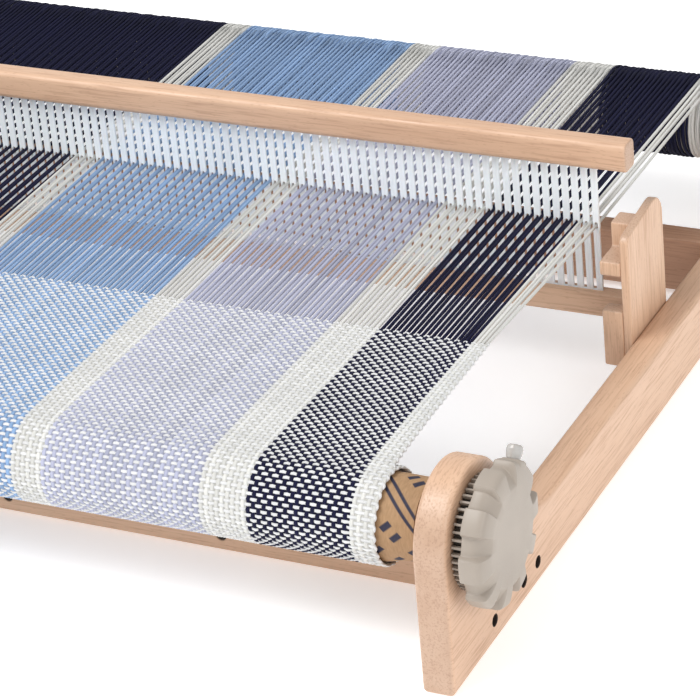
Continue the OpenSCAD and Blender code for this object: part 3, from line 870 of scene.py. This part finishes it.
# ---- cloth -------------------------------------------------------------------
def cloth_place(pick):
    """Y, Z, and the direction of the face's normal at a place counted in picks.

    0 is the top of the roller; the web has positive picks and the wound cloth negative ones."""
    pick = np.asarray(pick, float)
    on_web = pick >= 0
    share = np.clip(pick / WEB_PICKS, 0, 1)
    sag = FELL_DROP * share * share * (2.2 - 1.2 * share)
    angle = np.pi / 2 - pick * 2 * np.pi / ROLL_PICKS
    y = np.where(on_web, CLOTH_Y + pick * WEB_STEP, CLOTH_Y + ROLL_R * np.cos(angle))
    z = np.where(on_web, AXIS_Z + ROLL_R - sag, AXIS_Z + ROLL_R * np.sin(angle))
    ny = np.where(on_web, 0, np.cos(angle))
    nz = np.where(on_web, 1, np.sin(angle))
    return y, z, ny, nz


def cloth_x(pick):
    """X of every end at a pick, drawn in towards the last row."""
    share = np.clip(np.asarray(pick, float) / WEB_PICKS, 0, 1)[..., None]
    return MID + roll_x + (fell_x - roll_x) * share ** 0.5


FELL_Z = float(cloth_place(WEB_PICKS)[1])


def warp_in_cloth(tag, first, last, body):
    """The warp between two picks, as waves over and under the weft, a piece for each colour."""
    picks = np.arange(2 * first, 2 * last + 1) / 2
    y, z, ny, nz = cloth_place(picks)
    over = np.where(in_eye, 1, -1)
    wave = over[:, None] * WAVE * np.cos(np.pi * picks)
    lines = np.stack([cloth_x(picks).T, y + wave * ny, z + wave * nz], -1)
    lines[:, :, 0] += rng.normal(0, 0.07 * MM, lines.shape[:2])
    swell = YARN_HW * (0.95 + 0.1 * np.abs(np.cos(np.pi * picks)))
    return list(dyed_tubes(tag, lines, slice(None), swell, YARN_HT, body))


def weft_in_cloth(tag, first, last, body):
    """The white weft between two picks, turning round the edge threads from row to row."""
    picks = np.arange(first, last)
    grid = np.arange(2 * ENDS - 1) / 2
    x = np.array([np.interp(grid, end_no, row) for row in cloth_x(picks)])
    wave = -WAVE * np.cos(np.pi * picks)[:, None] * np.cos(np.pi * grid)
    y, z, ny, nz = (v[:, None] for v in cloth_place(picks))
    lines = np.stack([x, y + wave * ny, z + wave * nz], -1)
    # each row's ends bend half way to the next row, on alternate sides
    out = np.where(picks % 2 == 0, 1, -1)
    turns = []
    for at, way in ((0, -1), (-1, 1)):
        turn = []
        for reach, part in ((0.9, 0.16), (1.15, 0.4), (1.15, 0.52)):
            turn_y, turn_z, _, _ = cloth_place(picks + out * way * part)
            turn.append(np.stack([x[:, at] + way * reach * MM, turn_y, turn_z], -1))
        turns.append(np.stack(turn[::way], 1))
    lines = np.concatenate([turns[0], lines, turns[1]], 1)
    normal = np.stack([np.zeros(len(picks)), ny[:, 0], nz[:, 0]], -1)[:, None]
    side = np.cross(normal, np.gradient(lines, axis=1))
    side /= np.linalg.norm(side, axis=2, keepdims=True)
    swell = np.concatenate([[0.8] * 3, 0.67 + 0.18 * np.cos(np.pi * grid) ** 2, [0.8] * 3]) * YARN_HW
    mesh = tubes(tag, lines, side, swell, YARN_HT, rng.uniform(0, 0.6, len(picks)))
    return piece(tag, mesh, YARN["white"], body)


def ground(name, first, last, body):
    """The thin middle layer of the cloth, which fills the pores between the yarns, in darker copies of their
    colours as painted shade.
    """
    picks = np.linspace(first, last, 2 * (last - first) + 1)
    y, z, _, _ = (np.repeat(v[:, None], ENDS, 1) for v in cloth_place(picks))
    points = np.stack([cloth_x(picks), y, z], -1).reshape(-1, 3)
    row, col = np.meshgrid(np.arange(len(picks) - 1), np.arange(ENDS - 1), indexing="ij")
    base = (row * ENDS + col).ravel()
    mesh = mesh_of(name, points, np.stack([base, base + 1, base + ENDS + 1, base + ENDS], -1))
    for tint in SHADED_GROUND.values():
        mesh.materials.append(tint)
    order = list(SHADED_GROUND)
    mesh.polygons.foreach_set("material_index", [order.index(colour_of[c]) for c in col.ravel()])
    return piece(name, mesh, None, body)


web_ground = ground("cloth_web_ground", 0, WEB_PICKS, "frame")
web_yarns = warp_in_cloth("web_warp", 0, WEB_PICKS, "frame")
web_yarns += [weft_in_cloth("web_weft_near", 1, WEB_PICKS // 2, "frame"),
              weft_in_cloth("web_weft_far", WEB_PICKS // 2, WEB_PICKS + 1, "frame")]
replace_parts(web_ground, "cloth_web")

roll_ground = ground("cloth_roll_ground", -ROLL_PICKS, 0, "cloth_beam")
roll_yarns = warp_in_cloth("roll_warp", -ROLL_PICKS, 0, "cloth_beam")
roll_yarns += [weft_in_cloth("roll_weft_front", -ROLL_PICKS // 2, 1, "cloth_beam"),
               weft_in_cloth("roll_weft_back", -ROLL_PICKS + 1, -ROLL_PICKS // 2, "cloth_beam")]
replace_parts(roll_ground, "cloth_roll")


# ---- unwoven warp ------------------------------------------------------------
THREAD_R = 1.06 * MM
WARP_R = warp_paper_r + 0.9 * MM  # middle of the outer layer of warp on its roller
warp_top = AXIS_Z + WARP_R
slot_z = FELL_Z + (warp_top - FELL_Z) * (REED_Y - FELL_Y) / (WARP_Y - FELL_Y)


def threads(tag, mine, start, end, steps, bend=None):
    """Taut threads between two rows of points, a piece for each colour.

    Threads in the eyes are made when bend is given: they go on no body and are fixed in place, and the two
    places in bend, where they would come to follow the heddle, do nothing."""
    t = np.linspace(0, 1, steps)[None, :, None]
    lines = start[mine][:, None] * (1 - t) + end[mine][:, None] * t
    made = []
    for thing in dyed_tubes(tag, lines, mine, THREAD_R, THREAD_R, None if bend else "frame"):
        if bend:
            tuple(bend[0])
            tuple(bend[1])
            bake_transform(thing)
        made.append(thing)
    return made


def row_at(x, y, z):
    """A point for every end."""
    return np.stack([x, np.full(ENDS, y), np.full(ENDS, z)], -1)


back_x = MID + reed_x * 1.003
fell_row = row_at(MID + fell_x, FELL_Y - 1 * MM, FELL_Z)
slot_row = row_at(MID + reed_x, REED_Y, slot_z)
eye_row = row_at(MID + reed_x, REED_Y, EYE_Z)
back_row = row_at(back_x, WARP_Y, warp_top)
at_fell, at_reed, at_back = ((MID, y, FELL_Z) for y in (FELL_Y, REED_Y, WARP_Y))

for node, made in (
        ("warp_front_slots", threads("front_slot_threads", ~in_eye, fell_row, slot_row, 8)),
        ("warp_rear_slots", threads("rear_slot_threads", ~in_eye, slot_row, back_row, 8)),
        ("warp_front_eyes", threads("front_eye_threads", in_eye, fell_row, eye_row, 16, (at_fell, at_reed))),
        ("warp_rear_eyes", threads("rear_eye_threads", in_eye, eye_row, back_row, 16, (at_back, at_reed)))):
    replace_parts(made[0], node)


def wound_warp():
    """The warp's outer layer on its roller, each end a ring that leans a little, over a lower layer."""
    a = np.linspace(0, 2 * np.pi, 61)
    for layer, radius, shift in (("outer", WARP_R, 0), ("inner", WARP_R - 0.8 * MM, PITCH / 4)):
        lean = rng.uniform(-0.9, 0.9, ENDS)[:, None] * MM * np.sin(a + rng.uniform(0, 6, (ENDS, 1)))
        r = radius + rng.uniform(-0.45, 0.1, (ENDS, 1)) * MM
        x = back_x[:, None] + shift + lean
        lines = np.stack([x, WARP_Y + r * np.cos(a), AXIS_Z + r * np.sin(a)], -1)
        yield from dyed_tubes(f"wound_{layer}", lines, slice(None), THREAD_R, THREAD_R, "warp_beam")


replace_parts(list(wound_warp())[0], "warp_roll")


# ---- CAD nodes that keep their own shape -------------------------------------
for material, names in ((WOOD_X, ("cloth_roller", "warp_roller")),
                        (ratchet_plastic("front_ratchet", CLOTH_Y), ("cloth_ratchet",)),
                        (ratchet_plastic("rear_ratchet", WARP_Y), ("warp_ratchet",)),
                        (GREY_PLASTIC, ("cloth_pawl", "warp_pawl")),
                        (CLEAR_PLASTIC, ("cloth_handle_peg", "warp_handle_peg")),
                        (STEEL, ("rail_bolts", "front_rail_screws", "block_screws", "pawl_pivots"))):
    for node in names:
        shown = frame["nodes"][node]
        shown.data.materials.clear()
        shown.data.materials.append(material)


# ---- stage, light and camera -------------------------------------------------
def stage():
    """A pale floor with a faint glow, under a white sky."""
    material, _, shader = new_material("pale_floor", (0.93, 0.93, 0.93), 0.9, Emission_Strength=0.4)
    shader.inputs["Emission Color"].default_value = (1, 1, 1, 1)
    mesh = bpy.data.meshes.new("floor")
    mesh.from_pydata([(-6, -6, 0), (6, -6, 0), (6, 6, 0), (-6, 6, 0)], [], [(0, 1, 2, 3)])
    mesh.materials.append(material)
    floor = bpy.data.objects.new("floor", mesh)
    bpy.context.scene.collection.objects.link(floor)
    world = bpy.data.worlds.new("studio")
    world.use_nodes = True
    sky = world.node_tree.nodes["Background"]
    sky.inputs["Color"].default_value = (1, 1, 1, 1)
    sky.inputs["Strength"].default_value = 0.68
    bpy.context.scene.world = world


def lamp(name, place, aim, size, watts):
    """A square soft light at a place, turned to its aim."""
    light = bpy.data.lights.new(name, "AREA")
    light.shape = "SQUARE"
    light.size = size
    light.energy = watts
    thing = bpy.data.objects.new(name, light)
    thing.location = place
    thing.rotation_euler = (Vector(aim) - Vector(place)).to_track_quat("-Z", "Y").to_euler()
    bpy.context.scene.collection.objects.link(thing)


def camera():
    """Looks down on the right front corner, rolled a little."""
    azimuth, elevation, roll = (math.radians(a) for a in (28.357, 28.846, -5.89))
    distance = 2.0401
    aim = Vector((MID + 0.2713, FRONT + 0.2507, 0.060))
    ahead = -Vector((math.sin(azimuth) * math.cos(elevation), -math.cos(azimuth) * math.cos(elevation),
                     math.sin(elevation)))
    right = ahead.cross(Vector((0, 0, 1))).normalized()
    up = right.cross(ahead)
    c, s = math.cos(roll), math.sin(roll)
    right, up = c * right + s * up, c * up - s * right
    place = aim - ahead * distance
    data = bpy.data.cameras.new("camera")
    data.sensor_width = 36
    data.lens = 165.564
    thing = bpy.data.objects.new("camera", data)
    thing.matrix_world = Matrix(((right.x, up.x, -ahead.x, place.x), (right.y, up.y, -ahead.y, place.y),
                                 (right.z, up.z, -ahead.z, place.z), (0, 0, 0, 1)))
    bpy.context.scene.collection.objects.link(thing)
    bpy.context.scene.camera = thing


bpy.context.scene.view_settings.view_transform = "Standard"
stage()
lamp("key", (-0.9, -1.35, 2.6), (0.1, -0.1, 0.1), 1.4, 62)
lamp("fill", (2.3, -1.0, 1.3), (0.2, 0, 0.1), 1.4, 15)
camera()

bpy.context.view_layer.update()
